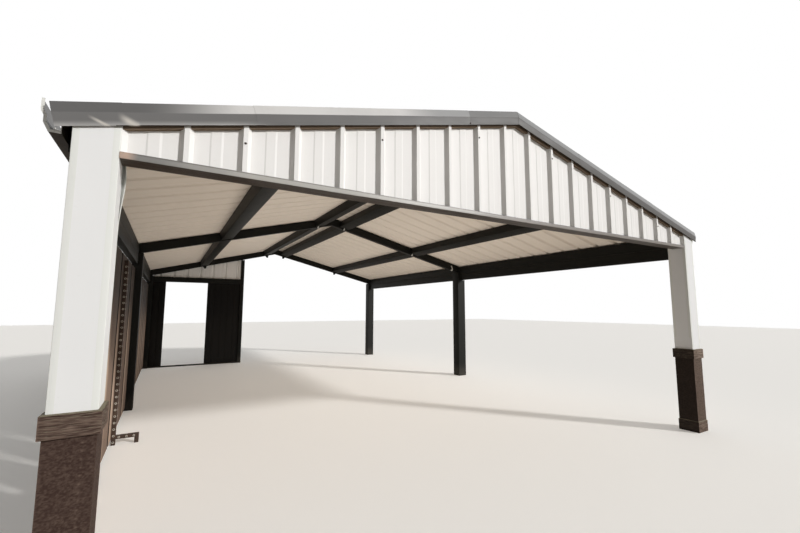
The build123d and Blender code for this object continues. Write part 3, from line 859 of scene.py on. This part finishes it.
# Front columns: steel posts wrapped in white flat sheet, a folded angle closing each of the four corners;
# the angle at the left column's back inner corner has been pushed out below the header
angle_leg, angle_skin, angle_bend, angle_gap = 0.030, 0.0014, 0.003, 0.004
angle_steps, angle_wave, waves_per_metre = 70, 0.0010, 3.0
bow_out, bow_level, bow_spread = 0.020, 2.15, 0.16
column_white, column_soil, angle_white = tint(240, 240, 239), tint(206, 206, 198), tint(236, 237, 232)
column_paint = painted("column_paint", column_white, column_soil, cover=0.12, size=1.4, rough=0.45,
                       shine=0.2, dent=0.006, dent_size=2.4, splash=1.10)
angle_paint = painted("angle_paint", angle_white, column_soil, cover=0.25, size=2.0, runs=0.3,
                      shine=0.2, dent=0.004, dent_size=4.0, splash=1.10)
for side, label in sides:
    lo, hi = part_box("column_front_" + label)
    dress("column_front_" + label, column_paint)
    angles = []
    for x, to_x in ((lo[0], 1.0), (hi[0], -1.0)):
        for y, to_y in ((lo[1], 1.0), (hi[1], -1.0)):
            top = ridge_under - slope * abs(x) - angle_gap - slope * angle_leg * (to_x * side > 0)
            z = np.linspace(lo[2] + 0.001, top, angle_steps)
            line = np.array([[angle_leg * to_x, -air * to_y], [-air * to_x, -air * to_y],
                             [-air * to_x, angle_leg * to_y]])
            pushed = bow_out if side == to_x == to_y == -1.0 else 0.0
            bow = pushed * np.exp(-((z - bow_level) / bow_spread) ** 2)
            wave = angle_wave * (value_noise(z * waves_per_metre, 0 * z + 9.0 * x, 21) - 0.5)
            outline = folded(rolled(line, angle_bend, steps=3), angle_skin * to_x * to_y)
            angles.append(carried(outline, row(x + bow + wave * to_x, y, z), to_right, to_back))
    piece("column_angles_" + label, angles, angle_paint, crease=0.5)

# Base wraps: rough-sawn brown boards round each column foot, mitred, with a chamfered cap board and a
# skirting board; the grain stands out in long level ridges, paler where it has worn
body_out, cap_out, skirt_out, cap_high, skirt_high = 0.005, 0.020, 0.012, 0.110, 0.130
side_steps, corner_part, millimetres = 56, 0.06, 1000.0
drift_by, drift_long, drift_tall, fine_long, fine_tall = 9.0, 60.0, 40.0, 2.3, 1.7
coarse_share, fine_share, steep, sunk, level_grain, corner_worn = 0.6, 0.4, 1.5, 0.25, 0.6, 0.30
knot_pitch, knot_at, knot_narrow, knot_flat = 37.0, 0.46, 420.0, 68.0
wood_dark, wood_pale = tint(60, 44, 38), tint(142, 122, 108)
# The right wrap's colours are lighter, painted sunlight, and its -X side gets painted shade in a dark stain
# colour
right_dark_sunlit, right_pale_sunlit = tint(76, 60, 50), tint(170, 150, 134)
wood_moss, wood_shade_stain = tint(134, 128, 108), tint(22, 17, 14)
edge_cut, edge_from, edge_to, foot_cut = 0.007, 0.009, 0.006, 0.0015
quarter_turn = np.array([[0.0, 1.0], [-1.0, 0.0]])


def wrap(half, z, chamfers, raise_by, strand, contrast, knotty, seed):
    """Square wrap: rings round the column at each level, pushed out by noise stretched along the strands."""
    t = np.linspace(-1.0, 1.0, side_steps, endpoint=False)
    turns = [np.linalg.matrix_power(quarter_turn, k) for k in range(4)]
    ring, way = (np.concatenate([np.stack([x, -np.ones_like(t)], 1) @ turn for turn in turns])
                 for x in (t, 0 * t))
    u = np.concatenate([t + 3.0 * k for k in range(4)]) * half * millimetres
    edge = np.clip((1.0 - np.abs(np.concatenate([t] * 4))) / corner_part, 0.0, 1.0)
    grid_u, grid_z = np.meshgrid(u, z * millimetres)
    drift = drift_by * value_noise(grid_u / drift_long + 40.0, grid_z / drift_tall + 5.0, seed)
    on, high = grid_u / strand[0], (grid_z + drift) / strand[1]
    coarse = value_noise(on + 50.0, high + 9.0, seed + 1)
    fine = value_noise(on * fine_long + 60.0, high * fine_tall + 2.0, seed + 2)
    raised = np.clip(steep * (coarse_share * coarse + fine_share * fine) - sunk, 0.0, 1.0)
    knots = (grid_u / half / millimetres - knot_at) ** 2 * knot_narrow
    knots = knots + (grid_z % knot_pitch / knot_pitch - 0.5) ** 2 * knot_flat
    raised = np.clip(raised * contrast + knotty * np.exp(-knots), 0.0, 1.0)
    push = raise_by * (raised - level_grain) * edge
    shrink = half - np.asarray(chamfers)[:, None]
    points = np.empty((len(z), len(u), 3))
    points[..., :2] = ring[None] * shrink[..., None] + way[None] * push[..., None]
    points[..., 2] = z[:, None]
    return points, np.clip(raised + corner_worn * contrast * (1.0 - edge), 0.0, 1.0)


def wood(name, dark, pale, stain_and_shade):
    """Stained board: dark to pale by the raised grain, moss on top, and painted shade on the -X side by a
    share.
    """
    material, shader, place = finish(name, rough=0.7, shine=0.15)
    grain = node(place.id_data, "ShaderNodeAttribute", attribute_name="raised").outputs["Fac"]
    tone = placed(patches, place, Scale=5.0, Cover=0.5, Soft=0.6)
    fibre = placed(patches, place, Stretch=(1.0, 1.0, 7.0), Scale=60.0, Cover=0.5, Soft=0.4)
    turned = placed(facing, place)
    worn = times(ramp(grain, 0.10, 1.12, smooth=False), scaled(fibre["Cloud"], by=0.8, plus=0.45))
    base = over(dark, pale, worn)
    base = over(base, pale, tone["Mask"], 0.12)
    # painted shade on the -X side, by the given share
    base = over(base, wood_shade_stain, ramp(axes(own_normal(place))["X"], -0.5, -0.85), stain_and_shade)
    base = over(base, wood_moss, turned["Up"], 0.75)
    fed(shader, Base_Color=base, Roughness=scaled(fibre["Cloud"], by=0.3, plus=0.5),
        Normal=relief(fibre["Cloud"], depth=0.0025, strength=0.7))
    return material


base_woods = {-1.0: wood("base_wood_left", wood_dark, wood_pale, stain_and_shade=0.0),
              1.0: wood("base_wood_right", right_dark_sunlit, right_pale_sunlit, stain_and_shade=0.8)}
for side, label in sides:
    lo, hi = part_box("column_front_" + label)
    middle = row((lo[0] + hi[0]) / 2, (lo[1] + hi[1]) / 2, 0.0)
    half = (hi[0] - lo[0]) / 2
    cap_low = lo[2] - cap_high
    shells, grains = [], []
    for out, start, stop, step, raise_by, strand, contrast, knotty, seed in (
            (body_out, 0.0, cap_low, 0.0036, 0.0012, (8.5, 5.0), 0.40, 0.40, 31),
            (cap_out, cap_low, lo[2], 0.0020, 0.0034, (62.0, 3.6), 0.9, 0.0, 41),
            (skirt_out, 0.0, skirt_high, 0.0030, 0.0022, (40.0, 6.5), 0.6, 0.0, 51)):
        z = np.linspace(start, stop, int((stop - start) / step))
        chamfers = np.zeros_like(z)
        if out != body_out:
            z = np.append(z[:-1], [stop - edge_to, stop])
            z[-3] = stop - edge_from
            chamfers = np.append(chamfers, edge_cut)
            chamfers[0] = foot_cut
        points, grain = wrap(half + out - 0.001, z, chamfers, raise_by, strand, contrast, knotty,
                             seed + (7 if side > 0 else 0))
        shells.append(((points + middle).reshape(-1, 3), wrapped(*points.shape[:2])))
        grains.append(grain.ravel())
    made = piece("base_wrap_" + label, shells, base_woods[side], ("base_front_" + label,),
                 crease=0.9)
    raised = made.data.attributes.new("raised", "FLOAT", "POINT")
    raised.data.foreach_set("value", np.concatenate(grains).astype(np.float32))

# Left screens: wide brown boards with open joints on two outer rails, nailed through; painted shade
# darkens the boards beside the joints and on their sawn ends, the darker stain high up is partly painted
# shade of the roof, and low down a pale band beside each joint is painted sunlight on the board edges
screen_brown, screen_worn, screen_fresh_and_shaded = tint(98, 80, 70), tint(152, 130, 114), tint(40, 35, 31)
screen_painted_sunlight, joint_painted_shade = tint(196, 172, 152), tint(14, 12, 11)
board_width, board_joint, post_part = 0.60, 0.07, 0.040
nail_in, nail_row, nail_stagger, rail_low, rail_high = 0.035, 5, 0.018, 0.2445, 0.1555
# How much of the worn tone comes from each cause, then the parts of a board's pitch, the heights
# and the turn at which each tone begins and is full
fibre_share, blotch_share, board_share, edge_share, joint_share = 0.55, 0.35, 0.35, 0.75, 0.9
beside_joint, beside_edge, stain_and_shade_heights, sawn_face = (0.86, 0.91), (0.36, 0.20), (1.0, 1.9), (0.7, 0.95)


def dot(first, second):
    """How far one vector reaches along another."""
    made = node(first.id_data, "ShaderNodeVectorMath", {0: first, 1: second}, operation="DOT_PRODUCT")
    return made.outputs["Value"]


boards, taken, given = effect("boards", {"Place": None, "Across": None, "Start": 0.0, "Pitch": 1.0},
                              ("Joint", "Edge", "Board"))
way = dot(taken["Place"], taken["Across"])
count = maths("DIVIDE", maths("SUBTRACT", way, taken["Start"]), taken["Pitch"])
part = maths("FRACT", count)
tone = node(boards, "ShaderNodeTexWhiteNoise", {"W": maths("FLOOR", count)}, noise_dimensions="1D")
fed(given, Joint=ramp(part, *beside_joint), Edge=ramp(part, *beside_edge), Board=tone.outputs["Value"])


def stained(name, colour, worn, fresh_and_shaded, edge, across, start, pitch, rough=0.62):
    """Upright stained boards: grain, a tone each, painted shade by the joints, darker stain high up that is
    partly painted shade, a painted sunlit band low down.
    """
    material, shader, place = finish(name, rough, shine=0.15)
    fibre = placed(patches, place, Stretch=(9.0, 9.0, 0.7), Scale=6.0, Cover=0.6, Soft=0.5)
    blotch = placed(patches, place, Stretch=(1.0, 1.0, 0.5), Scale=3.0, Cover=0.5, Soft=0.4)
    split = placed(boards, place, Across=across, Start=start, Pitch=pitch)
    amount = times(fibre["Cloud"], fibre_share)
    amount = scaled(blotch["Mask"], blotch_share, amount)
    amount = scaled(split["Board"], board_share, amount)
    # high up the boards take the darker colour, partly painted shade of the roof, and wear less
    stain_and_shade = ramp(scaled(fibre["Cloud"], by=0.4, plus=axes(place)["Z"]), *stain_and_shade_heights)
    amount = times(maths("MINIMUM", amount, 1.0), scaled(stain_and_shade, by=-0.8, plus=1.0))
    base = over(over(colour, fresh_and_shaded, stain_and_shade), worn, amount)
    # painted sunlight on the band beside each joint, low down only
    base = over(base, edge, split["Edge"], rest_of(stain_and_shade), edge_share)
    # painted shade beside the joints and on the sawn ends
    sawn = ramp(maths("ABSOLUTE", dot(own_normal(place), across)), *sawn_face)
    base = over(base, joint_painted_shade, maths("MAXIMUM", split["Joint"], sawn), joint_share)
    fed(shader, Base_Color=base, Roughness=scaled(fibre["Cloud"], by=0.25, plus=rough - 0.1),
        Normal=relief(fibre["Cloud"], depth=0.004))
    return material


def nails(centres, axis):
    """Round nail heads, slightly domed."""
    return [studs(centres, axis, [(0.0045, -0.001), (0.0045, 0.0006), (0.003, 0.0014)], sides=8)]


nail_steel = painted("nail_steel", tint(52, 44, 38), tint(120, 84, 60), cover=0.5, size=60.0, rough=0.5,
                     metal=0.3, dent=0.0003)
heads = []
screen_levels = (rail_low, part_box("screen_rear")[1][2] - rail_high)
for name, post in (("screen_front", post_part), ("screen_rear", 0.0)):
    lo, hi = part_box(name)
    first, count = lo[1] + post, round((hi[1] - lo[1] - post) / (board_width + board_joint))
    step = (hi[1] - first) / count
    stain = stained("stain_" + name, screen_brown, screen_worn, screen_fresh_and_shaded, screen_painted_sunlight, tuple(to_back),
                    first, step)
    softened(name, 0.003, stain, shortest=0.4)
    across = board_joint / 2 + np.linspace(nail_in, step - board_joint - nail_in, nail_row)
    y = (first + step * np.arange(count)[:, None] + across).ravel()
    high = nail_stagger * np.where(np.arange(len(y)) % 2, 1.0, -1.0)
    for level in screen_levels:
        heads += nails(row(hi[0], y, level + high), to_right)
piece("screen_nails", heads, nail_steel)

# Punched steel upright and its foot: square tube with a row of holes in every face, brown from weather,
# bright zinc round the punched edges
hole_pitch, hole_radius, rim_flat, rim_foot = 0.0675, 0.0068, 0.0036, 0.0040
foot_middle, foot_top, foot_clear, first_hole, last_hole = 0.08, 0.10, 0.11, 0.03, 0.02
upright_paint = painted("upright_paint", tint(72, 58, 50), tint(112, 92, 76), cover=0.5, size=14.0, runs=0.3,
                        rough=0.5, metal=0.3, dent=0.001, dent_size=20.0)
zinc_edge = painted("zinc_edge", tint(216, 208, 194), tint(160, 140, 120), cover=0.4, size=60.0,
                    metal=0.1, dent=0.0003)
# Each hole is a near-black disc inside its rim: painted shade standing for the dark inside of the tube
hole_shade_disc = painted("hole_shade_disc", tint(12, 11, 10), tint(30, 26, 22), cover=0.4, size=80.0, rough=0.9,
                     dent=0.0002)
softened("upright_foot", 0.003, upright_paint, shortest=0.05)
lo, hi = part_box("upright_foot")
tube = hi[1] - lo[1]
stem = np.arange(first_hole, hi[2] - last_hole, hole_pitch)
bar = np.arange(lo[0] + tube + first_hole, hi[0] - last_hole, hole_pitch)
mid_x, mid_y = lo[0] + tube / 2, lo[1] + tube / 2
rims, holes = [], []
for centres, axis in ((row(lo[0] + tube, mid_y, stem[stem > foot_clear]), to_right),
                      (row(mid_x, lo[1], stem), -to_back), (row(mid_x, hi[1], stem), to_back),
                      (row(bar, lo[1], foot_middle), -to_back), (row(bar, hi[1], foot_middle), to_back),
                      (row(bar[:-1], mid_y, foot_top), to_top)):
    rims.append(studs(centres, axis, [(hole_radius + rim_foot, -0.001), (hole_radius + rim_flat, 0.0007),
                                      (hole_radius, 0.0007), (hole_radius - 0.0006, 0.0001)]))
    holes.append(studs(centres, axis, [(hole_radius - 0.0004, -0.001), (hole_radius - 0.0004, 0.0003)]))
piece("upright_rims", rims, zinc_edge)
piece("upright_holes", holes, hole_shade_disc)

# Rear wall: near-black boards either side of the doorway between header and sill, nailed at both ends
# and in the middle; the finish has no joints of its own here, so its pitch is longer than the wall
rear_black, rear_worn = tint(19, 18, 17), tint(38, 36, 33)
rear_start, rear_pitch, rear_board, rear_nail_in = -20.0, 40.0, 0.150, 0.04
rear_stain = stained("rear_stain", rear_black, rear_worn, rear_black, rear_worn, tuple(to_right), rear_start,
                     rear_pitch, rough=0.6)
heads = []
for name in ("panel_rear_left", "panel_rear_right"):
    softened(name, 0.002, rear_stain, shortest=0.4)
    lo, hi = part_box(name)
    count = max(1, round((hi[0] - lo[0]) / rear_board))
    x = lo[0] + (hi[0] - lo[0]) / count * (np.arange(count)[:, None] + np.array([0.25, 0.75])).ravel()
    for level in (lo[2] + rear_nail_in, (lo[2] + hi[2]) / 2, hi[2] - rear_nail_in):
        heads += nails(row(x, lo[1], level), -to_back) + nails(row(x, hi[1], level), to_back)
piece("rear_nails", heads, nail_steel)
